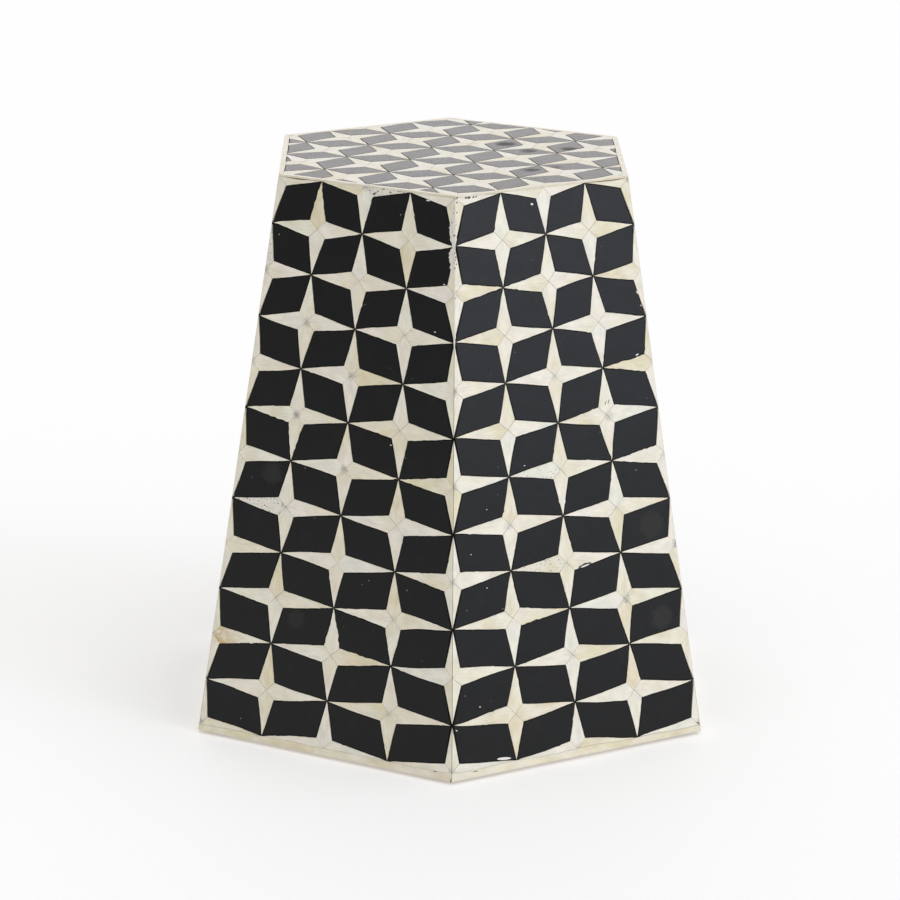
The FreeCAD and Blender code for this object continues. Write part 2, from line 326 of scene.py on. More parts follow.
def outlines(node, panel):
    """Outer outline of each piece in a node, counter-clockwise, in the panel's flat coordinates."""
    points, triangles = welded(node)
    outer = []
    for triangle in triangles:
        if triangle_normal(points, triangle).normalized().dot(panel.out) > FACE_ON:
            outer.append(triangle)
    following = {}
    for triangle in outer:
        for i in range(3):
            following[(triangle[i], triangle[(i + 1) % 3])] = True
    rims = {a: b for a, b in following if (b, a) not in following}
    loops = []
    while rims:
        start, at = next(iter(rims.items()))
        loop = [start]
        del rims[start]
        while at != start:
            loop.append(at)
            at = rims.pop(at)
        loops.append([panel.flat(points[i]) for i in loop])
    return loops


# Shape of a hand-cut piece


def noise_at(flat, length, layer):
    """Smooth random vector, the same for neighbouring pieces."""
    return noise.noise_vector(Vector((flat[0] / length, flat[1] / length, layer)))


@functools.cache
def slip_in(column, row, layer):
    """Place and push of the slip of the saw in one cell of a panel, or none."""
    chance = random.Random(f"slip {column} {row} {layer}")
    if chance.random() > SLIP_CHANCE:
        return None
    place = [(cell + chance.uniform(*SLIP_INSIDE)) * SLIP_CELL for cell in (column, row)]
    angle = chance.uniform(0.0, 2.0 * math.pi)
    return Vector(place), Vector((math.cos(angle), math.sin(angle))) * chance.uniform(*SLIP_REACH)


def slipped(flat, layer):
    """Push on an edge point that lies beside a slip of the saw."""
    slip = slip_in(math.floor(flat[0] / SLIP_CELL), math.floor(flat[1] / SLIP_CELL), layer)
    if slip is None:
        return Vector((0.0, 0.0))
    return slip[1] * max(0.0, 1.0 - (Vector(flat) - slip[0]).length / SLIP_RADIUS)


def wandered(flat, layer, hold, shift):
    """Place of an edge point after hand cutting and laying. hold is 0 on the table's own edges."""
    drift = noise_at(flat, WANDER_LENGTH, layer) * WANDER_REACH
    patch = max(0.0, noise_at(flat, RAGGED_SPREAD, layer + NOISE_FAR).x - RAGGED_FROM)
    ragged = noise_at(flat, RAGGED_LENGTH, layer) * RAGGED_REACH * (1.0 + RAGGED_GAIN * patch)
    moved = Vector(flat) + ((drift + ragged).to_2d() + slipped(flat, layer)) * hold
    return (moved.x + shift[0], moved.y + shift[1])


def rim_of(loops):
    """Hull of all outlines of a panel, as the panel's own edge."""
    points = sorted({(round(x, DIGITS), round(y, DIGITS)) for loop in loops for x, y in loop})
    hull = []
    for ordered in (points, points[::-1]):
        chain = []
        for p in ordered:
            while len(chain) > 1 and turn_of(chain[-2], chain[-1], p) <= 0.0:
                chain.pop()
            chain.append(p)
        hull += chain[:-1]
    return hull


def turn_of(a, b, c):
    return (b[0] - a[0]) * (c[1] - a[1]) - (b[1] - a[1]) * (c[0] - a[0])


def edges(loop):
    return list(zip(loop, loop[1:] + loop[:1]))


def rim_distance(rim, p):
    """How far a point lies inside the panel's own edge."""
    reaches = [turn_of(a, b, p) / math.dist(a, b) for a, b in edges(rim) if math.dist(a, b) > EDGE_STEP]
    return max(0.0, min(reaches))


def settled(panel, rim, at, layer):
    """How far a point has moved along and up because the pattern was not laid evenly."""
    low, high = (pick(p[1] for p in rim) for pick in (min, max))
    half = max(p[0] for p in rim)
    level = at[1] - low
    move = panel.rise * math.sin(math.pi * level / (high - low))
    near, grown = panel.drop
    share_along = 0.5 + math.copysign(0.5, grown) * at[0] / half
    drop = near + abs(grown) * share_along
    move -= drop * min(1.0, level / STRIP_HEIGHT) * max(0.0, 1.0 - level / FOOT_DROP_HEIGHT)
    if panel.mitres and high - at[1] < HALF_JOINT:
        move -= TOP_GAP * max(0.0, noise_at(at, TOP_GAP_LENGTH, layer + NOISE_FAR).x)
    aside = -panel.pull * math.sin(math.pi * at[0] / panel.edge_at(at[1])) if panel.pull else 0.0
    return (aside, move)


def cut_line(loop, panel, rim, layer):
    """Outline divided and moved as a saw and file would leave it, with the room inside at each point."""
    line = []
    rooms = []
    sides = edges(loop)
    for number, (p, q) in enumerate(sides):
        count = max(1, round(math.dist(p, q) / EDGE_STEP))
        for i in range(count):
            share = i / count
            at = (p[0] + share * (q[0] - p[0]), p[1] + share * (q[1] - p[1]))
            hold = min(1.0, rim_distance(rim, at) / RIM_FADE)
            line.append(wandered(at, layer, hold, settled(panel, rim, at, layer)))
            own = [sides[number], sides[number - 1]] if i == 0 else [sides[number]]
            rooms.append(min(turn_of(a, b, at) / math.dist(a, b) for a, b in sides if (a, b) not in own))
    return line, rooms


def inset(line, rooms, width):
    """Outline drawn in by a width, or out by a negative one, less where a piece is narrow or sharp."""
    result = []
    for i, p in enumerate(line):
        before = Vector(p) - Vector(line[i - 1])
        after = Vector(line[(i + 1) % len(line)]) - Vector(p)
        left = [Vector((-d.y, d.x)).normalized() for d in (before, after)]
        pull = left[0] + left[1]
        if pull.length < TINY:
            result.append(p)
            continue
        pull.normalize()
        depth = min(width, ROOM_SHARE * rooms[i]) / max(SHARPEST, pull.dot(left[0]))
        depth = max(-HALF_JOINT, min(LONGEST_TIP_CUT, depth))
        result.append((p[0] + pull.x * depth, p[1] + pull.y * depth))
    return result


def middle_of(loop):
    return (sum(p[0] for p in loop) / len(loop), sum(p[1] for p in loop) / len(loop))


def heart_of(loop):
    """Corner of a piece at the middle of its star: the one farthest from its sharpest tip."""
    openings = []
    for before, p, after in zip(loop[-1:] + loop[:-1], loop, loop[1:] + loop[:1]):
        openings.append((Vector(before) - Vector(p)).angle(Vector(after) - Vector(p)))
    tip = loop[openings.index(min(openings))]
    return max(loop, key=lambda p: math.dist(p, tip))


def long_way(loop):
    """Angle of a piece's length, along which its grain runs."""
    x, y = middle_of(loop)
    xx = sum((p[0] - x) ** 2 for p in loop)
    yy = sum((p[1] - y) ** 2 for p in loop)
    xy = sum((p[0] - x) * (p[1] - y) for p in loop)
    return 0.5 * math.atan2(2.0 * xy, xx - yy)


def shown(name, verts, faces, numbers, vectors, material):
    """New piece of the table, with numbers and vectors for each of its points, which its paint reads."""
    mesh = bpy.data.meshes.new(name)
    mesh.from_pydata(verts, [], faces)
    for key, values in numbers.items():
        mesh.attributes.new(key, "FLOAT", "POINT").data.foreach_set("value", values)
    for key, values in vectors.items():
        flat_values = [x for value in values for x in value]
        mesh.attributes.new(key, "FLOAT_VECTOR", "POINT").data.foreach_set("vector", flat_values)
    mesh.materials.append(material)
    piece = bpy.data.objects.new(name, mesh)
    bpy.context.scene.collection.objects.link(piece)
    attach(piece, "root")
    return piece


def stitched(first, count, rings):
    """Faces of a closed piece whose rings of points follow each other from its back to its face."""
    faces = []
    for ring in range(rings - 1):
        low = first + ring * count
        for i in range(count):
            j = (i + 1) % count
            faces.append((low + i, low + j, low + count + j, low + count + i))
    last = first + (rings - 1) * count
    faces.append(tuple(range(last, last + count)))
    faces.append(tuple(range(first + count - 1, first - 1, -1)))
    return faces


def inlay(node, panel, rim, layer, rings, looks, material):
    """All pieces of one inlay node as one object. looks gives each piece's own values."""
    verts = []
    faces = []
    numbers = {key: [] for key in ("seed", "tone", "porous", "stain", "smudge", "grime", "edge")}
    vectors = {"place": [], "spot": []}
    for loop in outlines(node, panel):
        look = looks(loop)
        middle = Vector(middle_of(loop))
        line, rooms = cut_line(loop, panel, rim, layer)
        line = inset(line, rooms, -look["growth"])
        turn = Matrix.Rotation(-long_way(line), 2)
        spot = turn @ (Vector(look["spot"]) - middle)
        stain_at, stain_strength = look["stain"]
        faces += stitched(len(verts), len(line), len(rings))
        for width, depth, edge in rings:
            for p in inset(line, rooms, width) if width else line:
                away = Vector(p) - middle
                lift = look["proud"] + look["tilt"].dot(away) if depth < PIECE_THICKNESS else 0.0
                verts.append(panel.kept_in(panel.solid(p, lift - depth)))
                vectors["place"].append((*(turn @ away), -depth))
                vectors["spot"].append((*spot, 0.0))
                stain = stain_strength * max(0.0, 1.0 - math.dist(p, stain_at) / STAIN_REACH)
                for key, value in (("edge", edge * look["raw"]), ("stain", stain)):
                    numbers[key].append(value)
                for key in ("seed", "tone", "porous", "smudge", "grime"):
                    numbers[key].append(look[key])
    piece = shown("inlay_" + node, verts, faces, numbers, vectors, material)
    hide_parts(node)


def corner_filler(left, right, material):
    """Filler smeared over the front corner, from one side to the other, in a ragged strip."""
    photo_rows, left_widths, right_widths = zip(*CORNER_SMEAR)
    levels = [left.seen_at((CORNER_COLUMN, row))[1] for row in photo_rows]
    depths = [-level for level in levels]
    length = levels[0] - levels[-1]
    stations = round(length / SMEAR_STEP)
    half = len(SMEAR_SECTION)
    verts = []
    places = []
    for i in range(stations + 1):
        level = levels[0] - length * i / stations
        fade = min(1.0, i / SMEAR_FADE_STEPS, (stations - i) / SMEAR_FADE_STEPS)
        over = []
        for panel, end, widths in ((left, 1, left_widths), (right, -1, right_widths)):
            edge = panel.edge_at(level, end)
            ragged = 1.0 + SMEAR_RAGGED * noise.noise(Vector((level / SMEAR_LENGTH, end * NOISE_FAR, 0.0)))
            reach = max(SMEAR_LEAST, np.interp(-level, depths, widths) * ragged)
            for share, height in SMEAR_SECTION:
                across = -end * share * reach
                over.append((panel, edge + across, height * SMEAR_HEIGHT * fade, across))
        ring = over[:half] + over[: half - 1 : -1]
        ring += [(panel, along, -SMEAR_HEIGHT, across) for panel, along, _, across in ring[::-1]]
        for panel, along, height, across in ring:
            verts.append(panel.solid((along, level), height))
            places.append((level, across, 0.0))
    faces = stitched(0, len(verts) // (stations + 1), stations + 1)
    numbers = {"seed": [0.0] * len(verts)}
    shown("corner_filler", verts, faces, numbers, {"place": places}, material)


def flecks(name, table, heights, panels, material):
    """Small spots on the inlay as one object, each with its own ragged outline."""
    verts = []
    faces = []
    seeds = []
    places = []
    for number, (side, start, end, width) in enumerate(table):
        panel = panels[side]
        ends = [Vector(panel.seen_at(pixel)) for pixel in (start, end)]
        middle = (ends[0] + ends[1]) / 2.0
        long = (ends[1] - ends[0]) / 2.0
        broad = Vector((-long.y, long.x)).normalized() * width / 2.0
        chance = random.Random(f"{name} {number}")
        seed = chance.random()
        faces += stitched(len(verts), FLECK_POINTS, len(heights))
        ring = []
        for i in range(FLECK_POINTS):
            angle = 2.0 * math.pi * i / FLECK_POINTS
            away = long * math.cos(angle) + broad * math.sin(angle)
            ring.append(middle + away * chance.uniform(*FLECK_RAGGED))
        for height in heights:
            for p in ring:
                verts.append(panel.kept_in(panel.solid(p, height)))
                places.append((*(p - middle), 0.0))
                seeds.append(seed)
    shown(name, verts, faces, {"seed": seeds}, {"place": places}, material)


# Materials


class Pattern(NamedTuple):
    """Noise: repeats per millimetre along the grain and both ways across it, detail and roughness."""

    scale: tuple
    detail: float = 2.0
    roughness: float = 0.5


# Ranges that values are mapped from or to
WHOLE = (0.0, 1.0)
NOISE_SPAN = (0.3, 0.7)
SINE_SPAN = (-1.0, 1.0)

# How far the patterns of two pieces lie from each other, in millimetres
FAR_OFF = (173.0, 311.0, 59.0)

# Colour sockets of a Mix node
MIX_INPUTS = (6, 7)
MIX_OUTPUT = 2


class Nodes:
    """A node tree under construction, with the shader that it feeds."""

    def __init__(self, owner, shader):
        owner.use_nodes = True
        self.tree = owner.node_tree
        self.shader = self.tree.nodes[shader]

    def driven(self, name, source):
        self.tree.links.new(source, self.shader.inputs[name])

    def add(self, kind, inputs, **settings):
        """New node. An input is linked where its value is a socket, and is a constant elsewhere."""
        node = self.tree.nodes.new("ShaderNode" + kind)
        for key, value in settings.items():
            setattr(node, key, value)
        for key, value in inputs.items():
            socket = node.inputs[key]
            if isinstance(value, bpy.types.NodeSocket):
                self.tree.links.new(value, socket)
            else:
                socket.default_value = value
        return node

    def math(self, operation, *values):
        return self.add("Math", dict(enumerate(values)), operation=operation).outputs[0]

    def plus(self, first, second):
        return self.math("ADD", first, second)

    def times(self, first, second):
        return self.math("MULTIPLY", first, second)

    def dot(self, vector, direction):
        return self.add("VectorMath", {0: vector, 1: direction}, operation="DOT_PRODUCT").outputs["Value"]


class Paint(Nodes):
    """A material under construction."""

    def __init__(self, name):
        self.material = bpy.data.materials.new(name)
        super().__init__(self.material, "Principled BSDF")

    def fixed(self, **values):
        """Values that are the same all over the surface, by the shader's socket names."""
        for key, value in values.items():
            self.shader.inputs[key.replace("_", " ")].default_value = value

    def number(self, name):
        return self.add("Attribute", {}, attribute_name=name).outputs["Fac"]

    def vector(self, name):
        return self.add("Attribute", {}, attribute_name=name).outputs["Vector"]

    def place(self):
        """Place in a piece, in millimetres along its grain, moved far off for each piece."""
        far = self.scaled(FAR_OFF, self.number("seed"))
        return self.add("VectorMath", {0: self.vector("place"), 1: far}, operation="ADD").outputs[0]

    def away(self):
        """Distance from the piece's own spot, in millimetres along its face."""
        inputs = {0: self.vector("place"), 1: self.vector("spot")}
        return self.add("VectorMath", inputs, operation="DISTANCE").outputs["Value"]

    def scaled(self, vector, factor):
        return self.add("VectorMath", {0: vector, "Scale": factor}, operation="SCALE").outputs[0]

    def stretched(self, vector, factors):
        return self.add("VectorMath", {0: vector, 1: factors}, operation="MULTIPLY").outputs[0]

    def noise(self, vector, pattern):
        inputs = {"Vector": self.stretched(vector, pattern.scale), "Scale": 1.0}
        inputs |= {"Detail": pattern.detail, "Roughness": pattern.roughness}
        return self.add("TexNoise", inputs).outputs["Fac"]

    def cells(self, vector, scale):
        return self.add("TexVoronoi", {"Vector": self.stretched(vector, scale), "Scale": 1.0})

    def ranged(self, value, span, result=WHOLE):
        """Value mapped from one range to another, and held inside it."""
        inputs = {"Value": value, "From Min": span[0], "From Max": span[1]}
        inputs |= {"To Min": result[0], "To Max": result[1]}
        return self.add("MapRange", inputs).outputs[0]

    def ramp(self, value, stops):
        node = self.add("ValToRGB", {"Fac": value})
        elements = node.color_ramp.elements
        while len(elements) < len(stops):
            elements.new(0.5)
        for element, (position, colour) in zip(elements, stops):
            element.position = position
            element.color = (*colour, 1.0)
        return node.outputs["Color"]

    def mixed(self, share, first, second):
        """First colour, with a share of the second over it."""
        inputs = {0: share}
        for index, colour in zip(MIX_INPUTS, (first, second)):
            inputs[index] = (*colour, 1.0) if isinstance(colour, tuple) else colour
        return self.add("Mix", inputs, data_type="RGBA").outputs[MIX_OUTPUT]

    def part(self, colour, channel):
        """One of a colour's three channels."""
        return self.add("SeparateColor", {0: colour}).outputs[channel]

    def bump(self, height, strength, distance):
        inputs = {"Height": height, "Strength": strength, "Distance": distance}
        self.driven("Normal", self.add("Bump", inputs).outputs["Normal"])


BONE_TONES = (
    (0.00, (0.755, 0.683, 0.490)),
    (0.25, (0.800, 0.745, 0.592)),
    (0.55, (0.820, 0.774, 0.653)),
    (0.80, (0.845, 0.808, 0.702)),
    (1.00, (0.804, 0.776, 0.694)),
)
PINKISH = (1.014, 0.981, 0.990)
GREENISH = (0.986, 1.008, 0.972)
PORE_BROWN = (0.21, 0.17, 0.12)
POROUS_GREY = (0.66, 0.65, 0.59)
PIT_DARK = (0.10, 0.085, 0.07)
STAIN_BROWN = (0.50, 0.325, 0.085)
GRIME_GREY = (0.37, 0.38, 0.33)
BONE_EDGE = (0.50, 0.42, 0.29)
BONE_FIBRE = Pattern((0.10, 1.7, 1.7), 4.0, 0.6)
BONE_CLOUD = Pattern((0.09, 0.17, 0.17))
BONE_DRIFT = Pattern((0.05, 0.08, 0.08))
BONE_HUE = Pattern((0.03, 0.05, 0.09), 1.0)
STAIN_BLOT = Pattern((0.16, 0.3, 0.3), 4.0, 0.75)
GRIME_BLUR = Pattern((0.35, 0.35, 0.35), 4.0, 0.65)
PORE_CELLS = (0.55, 2.2, 2.2)
PIT_CELLS = (0.42, 0.50, 0.50)
DRIFT_TONES = (-0.35, 0.35)
GRAIN_LIGHT = (-0.045, 0.035)
CLOUD_LIGHT = (0.92, 1.06)
PORE_EDGE = (0.16, 0.05)
PORE_CLOUD = (0.45, 0.7)
PORE_SHARE = (0.0, 0.55)
POROUS_CLOUD = (0.35, 0.6)
POROUS_SHARE = (0.1, 0.5)
PIT_CHOICE = (0.15, 0.70)
PIT_EDGE = (0.40, 0.20)
STAIN_SPAN = (0.36, 0.60)
GRIME_RAGGED = (-2.2, 2.2)
GRIME_EDGE = (4.2, 0.4)
BONE_EDGE_SHARE = 0.55
FIBRE_SPAN = (0.25, 0.75)
FIBRE_HEIGHT = 0.22
PORE_DEPTH = 0.5
BONE_ROUGHNESS = (0.22, 0.36)
BONE_BUMP = (0.35, 0.00025)


def bone():
    """Polished bone with pores, a stain, grime round the middles of the stars, and duller cut edges."""
    paint = Paint("bone")
    place = paint.place()
    fibre = paint.noise(place, BONE_FIBRE)
    cloud = paint.noise(place, BONE_CLOUD)
    drift = paint.ranged(paint.noise(place, BONE_DRIFT), NOISE_SPAN, DRIFT_TONES)
    colour = paint.ramp(paint.plus(paint.number("tone"), drift), BONE_TONES)
    hue = paint.ranged(paint.noise(place, BONE_HUE), NOISE_SPAN)
    colour = paint.stretched(colour, paint.mixed(hue, PINKISH, GREENISH))
    grain = paint.ranged(fibre, NOISE_SPAN, GRAIN_LIGHT)
    colour = paint.scaled(colour, paint.plus(grain, paint.ranged(cloud, NOISE_SPAN, CLOUD_LIGHT)))

    pore = paint.ranged(paint.cells(place, PORE_CELLS).outputs["Distance"], PORE_EDGE)
    pore_share = paint.times(pore, paint.ranged(cloud, PORE_CLOUD, PORE_SHARE))
    colour = paint.mixed(pore_share, colour, PORE_BROWN)
    porous = paint.number("porous")
    dull = paint.times(porous, paint.ranged(cloud, POROUS_CLOUD, POROUS_SHARE))
    colour = paint.mixed(dull, colour, POROUS_GREY)
    pits = paint.cells(place, PIT_CELLS)
    chosen = paint.ranged(paint.part(pits.outputs["Color"], "Red"), PIT_CHOICE)
    pit_share = paint.times(paint.times(paint.ranged(pits.outputs["Distance"], PIT_EDGE), chosen), porous)
    colour = paint.mixed(pit_share, colour, PIT_DARK)

    blot = paint.ranged(paint.noise(place, STAIN_BLOT), STAIN_SPAN)
    colour = paint.mixed(paint.times(blot, paint.number("stain")), colour, STAIN_BROWN)
    ragged = paint.ranged(paint.noise(place, GRIME_BLUR), NOISE_SPAN, GRIME_RAGGED)
    smear = paint.ranged(paint.plus(paint.away(), ragged), GRIME_EDGE)
    colour = paint.mixed(paint.times(smear, paint.number("grime")), colour, GRIME_GREY)
    colour = paint.mixed(paint.times(paint.number("edge"), BONE_EDGE_SHARE), colour, BONE_EDGE)
    paint.driven("Base Color", colour)

    paint.driven("Roughness", paint.ranged(fibre, FIBRE_SPAN, BONE_ROUGHNESS))
    holes = paint.plus(paint.times(pore_share, PORE_DEPTH), pit_share)
    paint.bump(paint.math("SUBTRACT", paint.times(fibre, FIBRE_HEIGHT), holes), *BONE_BUMP)
    return paint.material


FILLER_PALE = (0.81, 0.77, 0.66)
FILLER_DULL = (0.64, 0.61, 0.58)
FILLER_CLOUD = Pattern((0.22, 0.5, 0.5), 4.0, 0.6)
FILLER_SPAN = (0.35, 0.65)
HOLE_CELLS = (0.28, 0.60, 0.60)
HOLE_FROM = 0.35
HOLE_EDGE = (0.26, 0.14)
FILLER_HEIGHT = 0.5
FILLER_ROUGHNESS = (0.55, 0.75)
FILLER_BUMP = (0.4, 0.0003)


def filler():
    """Pale plaster-like filler with dark holes."""
    paint = Paint("filler")
    place = paint.place()
    cloud = paint.noise(place, FILLER_CLOUD)
    colour = paint.mixed(paint.ranged(cloud, FILLER_SPAN), FILLER_DULL, FILLER_PALE)
    holes = paint.cells(place, HOLE_CELLS)
    chosen = paint.math("GREATER_THAN", paint.part(holes.outputs["Color"], "Red"), HOLE_FROM)
    hole = paint.times(paint.ranged(holes.outputs["Distance"], HOLE_EDGE), chosen)
    paint.driven("Base Color", paint.mixed(hole, colour, PIT_DARK))
    paint.driven("Roughness", paint.ranged(cloud, NOISE_SPAN, FILLER_ROUGHNESS))
    paint.bump(paint.math("SUBTRACT", paint.times(cloud, FILLER_HEIGHT), hole), *FILLER_BUMP)
    return paint.material


CHIP_WHITE = (0.84, 0.83, 0.81)
PIT_BROWN = (0.060, 0.050, 0.042)
FLECK_CLOUD = Pattern((0.5, 0.9, 0.9), 3.0)
FLECK_SPAN = (0.35, 0.7)
FLECK_ROUGHNESS = (0.4, 0.6)
FLECK_BUMP = (0.3, 0.0003)


def fleck(name, first, second):
    """Bare spot, clouded from one colour to another."""
    paint = Paint(name)
    cloud = paint.noise(paint.place(), FLECK_CLOUD)
    paint.driven("Base Color", paint.mixed(paint.ranged(cloud, FLECK_SPAN), first, second))
    paint.driven("Roughness", paint.ranged(cloud, NOISE_SPAN, FLECK_ROUGHNESS))
    paint.bump(cloud, *FLECK_BUMP)
    return paint.material


RESIN_BLACK = (0.0042, 0.0044, 0.0048)
RESIN_DUSTY = (0.0215, 0.0210, 0.0201)
SPECK_WHITE = (0.62, 0.60, 0.55)
RESIN_IOR = 1.315
RESIN_CLOUD = Pattern((0.07, 0.07, 0.07), 3.0)
RESIN_RUB = Pattern((0.5, 0.12, 0.3), 3.0, 0.6)
RESIN_WAVES = Pattern((0.05, 0.05, 0.05))
RESIN_FINE = Pattern((0.25, 0.6, 0.4), 4.0, 0.65)
SMUDGE_BLUR = Pattern((0.18, 0.32, 0.25), 4.0, 0.65)
SMUDGE_SPAN = (0.25, 0.75)
SMUDGE_RAGGED = (-3.0, 3.0)
SMUDGE_SHRINK = (10.0, 0.0)
SMUDGE_EDGE = (12.0, 7.0)
DUST_SPAN = (0.58, 0.85)
DUST_SHARE = (0.0, 0.29)
SPECK_CELLS = (0.12, 0.12, 0.12)
SPECK_FROM = 0.60
SPECK_POWER = 3.0
SPECK_EDGE = (0.060, 0.034)
WAVE_HEIGHT = 5.0
RESIN_ROUGHNESS = (0.18, 0.27)
SMUDGE_ROUGHNESS = 0.35
RIM_ROUGHNESS = 0.85
RESIN_BUMP = (0.15, 0.0002)


def black_resin():
    """Polished black resin with smudges, dust and a few pale specks, and a matt rim."""
    paint = Paint("black_resin")
    place = paint.place()
    edge = paint.number("edge")
    strength = paint.number("smudge")
    ragged = paint.ranged(paint.noise(place, SMUDGE_BLUR), SMUDGE_SPAN, SMUDGE_RAGGED)
    away = paint.plus(paint.plus(paint.away(), ragged), paint.ranged(strength, WHOLE, SMUDGE_SHRINK))
    smudge = paint.times(paint.ranged(away, SMUDGE_EDGE), strength)
    cloud = paint.noise(place, RESIN_CLOUD)
    dust = paint.math("MAXIMUM", smudge, paint.ranged(cloud, DUST_SPAN, DUST_SHARE))
    colour = paint.mixed(dust, RESIN_BLACK, RESIN_DUSTY)
    specks = paint.cells(place, SPECK_CELLS)
    chosen = paint.math("GREATER_THAN", paint.part(specks.outputs["Color"], "Red"), SPECK_FROM)
    white = paint.math("POWER", paint.part(specks.outputs["Color"], "Green"), SPECK_POWER)
    speck = paint.times(paint.ranged(specks.outputs["Distance"], SPECK_EDGE), chosen)
    colour = paint.mixed(paint.times(speck, white), colour, SPECK_WHITE)
    paint.driven("Base Color", paint.mixed(edge, colour, RESIN_BLACK))

    paint.fixed(IOR=RESIN_IOR)
    rub = paint.ranged(paint.noise(place, RESIN_RUB), NOISE_SPAN, RESIN_ROUGHNESS)
    matt = paint.plus(rub, paint.times(smudge, SMUDGE_ROUGHNESS))
    paint.driven("Roughness", paint.math("MAXIMUM", matt, paint.times(edge, RIM_ROUGHNESS)))
    waves = paint.times(paint.noise(place, RESIN_WAVES), WAVE_HEIGHT)
    paint.bump(paint.plus(waves, paint.noise(place, RESIN_FINE)), *RESIN_BUMP)
    return paint.material


def frame_place(paint, along):
    """Place in the frame in millimetres, turned so that x runs along a direction."""
    turn = Vector((1.0, 0.0, 0.0)).rotation_difference(along).inverted().to_euler()
    position = paint.add("NewGeometry", {}).outputs["Position"]
    inputs = {"Vector": position, "Rotation": turn, "Scale": (1.0 / MM, 1.0 / MM, 1.0 / MM)}
    return paint.add("Mapping", inputs).outputs[0]


BOARD_TONES = ((0.30, (0.36, 0.255, 0.155)), (0.55, (0.43, 0.315, 0.20)), (0.75, (0.49, 0.37, 0.245)))
JOINT_BLACK = (0.020, 0.018, 0.016)
BOARD_CHIPS = Pattern((0.9, 0.9, 0.9), 5.0, 0.7)
BOARD_CLOUD = Pattern((0.012, 0.012, 0.012), 3.0)
BOARD_LIGHT = (0.86, 1.08)
STAINED_FROM = 0.98
BOARD_ROUGHNESS = (0.78, 0.9)
BOARD_BUMP = (0.3, 0.0003)


def board(name, out):
    """Fibre board, stained black on the face that carries the inlay."""
    paint = Paint(name)
    place = frame_place(paint, UP)
    chips = paint.noise(place, BOARD_CHIPS)
    bright = paint.ranged(paint.noise(place, BOARD_CLOUD), NOISE_SPAN, BOARD_LIGHT)
    colour = paint.scaled(paint.ramp(chips, BOARD_TONES), bright)
    facing = paint.dot(paint.add("NewGeometry", {}).outputs["Normal"], out)
    colour = paint.mixed(paint.math("GREATER_THAN", facing, STAINED_FROM), colour, JOINT_BLACK)
    paint.driven("Base Color", colour)
    paint.driven("Roughness", paint.ranged(chips, NOISE_SPAN, BOARD_ROUGHNESS))
    paint.bump(chips, *BOARD_BUMP)
    return paint.material


PINE_TONES = ((0.20, (0.60, 0.42, 0.235)), (0.50, (0.70, 0.52, 0.315)), (0.80, (0.50, 0.315, 0.155)))
PINE_FIBRE = Pattern((0.03, 2.2, 2.2), 4.0, 0.6)
PINE_BEND = Pattern((0.006, 0.05, 0.05))
RING_WAY = (0.0, 0.55, 0.83)
RING_RATE = 1.15
RING_BEND = 14.0
RING_GRAIN = (0.22, 0.62)
FIBRE_GRAIN = (-0.10, 0.14)
PINE_ROUGHNESS = (0.62, 0.8)
PINE_BUMP = (0.35, 0.0003)


def softwood(name, along):
    """Sawn pine with its grain along a direction."""
    paint = Paint(name)
    place = frame_place(paint, along)
    bend = paint.times(paint.noise(place, PINE_BEND), RING_BEND)
    rings = paint.plus(paint.times(paint.dot(place, RING_WAY), RING_RATE), bend)
    wave = paint.ranged(paint.math("SINE", rings), SINE_SPAN, RING_GRAIN)
    fibre = paint.noise(place, PINE_FIBRE)
    grain = paint.plus(wave, paint.ranged(fibre, NOISE_SPAN, FIBRE_GRAIN))
    paint.driven("Base Color", paint.ramp(grain, PINE_TONES))
    paint.driven("Roughness", paint.ranged(fibre, NOISE_SPAN, PINE_ROUGHNESS))
    paint.bump(fibre, *PINE_BUMP)
    return paint.material


RUBBER_TONES = ((0.3, (0.018, 0.018, 0.019)), (0.75, (0.045, 0.043, 0.042)))
RUBBER_GRIT = Pattern((1.3, 1.3, 1.3), 4.0, 0.65)
RUBBER_ROUGHNESS = (0.62, 0.82)
RUBBER_BUMP = (0.25, 0.0003)


def rubber():
    """Matt black rubber of the foot pads."""
    paint = Paint("rubber")
    grit = paint.noise(frame_place(paint, UP), RUBBER_GRIT)
    paint.driven("Base Color", paint.ramp(grit, RUBBER_TONES))
    paint.driven("Roughness", paint.ranged(grit, NOISE_SPAN, RUBBER_ROUGHNESS))
    paint.bump(grit, *RUBBER_BUMP)
    return paint.material


NAIL_GREY = (0.34, 0.33, 0.32)
NAIL_RUST = (0.16, 0.075, 0.035)
NAIL_SCALE = Pattern((0.7, 0.7, 0.7), 4.0, 0.6)
RUST_SPAN = (0.52, 0.68)
NAIL_METAL = (1.0, 0.15)
NAIL_ROUGHNESS = (0.38, 0.75)
NAIL_BUMP = (0.3, 0.0004)


def nail_steel():
    """Grey steel of the cut nails, with patches of rust."""
    paint = Paint("nail_steel")
    scale = paint.noise(frame_place(paint, UP), NAIL_SCALE)
    rust = paint.ranged(scale, RUST_SPAN)
    paint.driven("Base Color", paint.mixed(rust, NAIL_GREY, NAIL_RUST))
    paint.driven("Metallic", paint.ranged(rust, WHOLE, NAIL_METAL))
    paint.driven("Roughness", paint.ranged(scale, NOISE_SPAN, NAIL_ROUGHNESS))
    paint.bump(scale, *NAIL_BUMP)
    return paint.material


# Eased edges of carried-over CAD nodes, in metres
WELD_REACH = 0.01 * MM
PAD_EDGE = 0.6 * MM
NAIL_EDGE = 0.25 * MM
EASED_SEGMENTS = 2


def wear(node, material):
    """Gives a carried-over CAD node its finish."""
    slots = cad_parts[node].data.materials
    slots.clear()
    slots.append(material)


